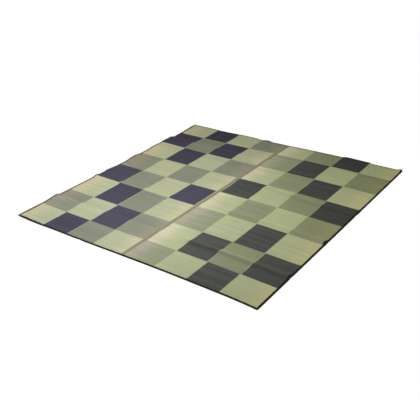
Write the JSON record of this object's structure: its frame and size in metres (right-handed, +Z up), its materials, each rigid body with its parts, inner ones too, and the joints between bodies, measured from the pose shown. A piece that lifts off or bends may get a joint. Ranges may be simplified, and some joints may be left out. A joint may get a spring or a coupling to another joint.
{
  "type": "rush rug",
  "caption": "Flat square rug of two woven rush panels with a checked weave, joined by a middle tape and edged with a dark folded binding, lying with soft fold ridges.",
  "frame": {"origin": "bottom centre of the rug's box, on the surface it lies on", "axes": "+X along the front edge to the right, +Y from the front edge to the back, along the seam, +Z up out of the rug's face"},
  "size_m": [1.733, 1.8085, 0.0151],
  "materials": {
    "rush_left": "woven dry rush in blocks of pale straw, grey green and dark navy, slight sheen along the stems",
    "rush_right": "woven dry rush in blocks of pale straw, grey green and charcoal, slight sheen along the stems",
    "seam_tape": "matt brown woven tape, stitched down both sides",
    "edge_binding": "matt near-black woven tape folded over the edge and stitched"
  },
  "bodies": {
    "root": {"panel_left": "rush_left", "panel_right": "rush_right", "seam_tape": "seam_tape", "binding_front": "edge_binding", "binding_right": "edge_binding", "binding_back": "edge_binding", "binding_left": "edge_binding"}
  },
  "joints": []
}
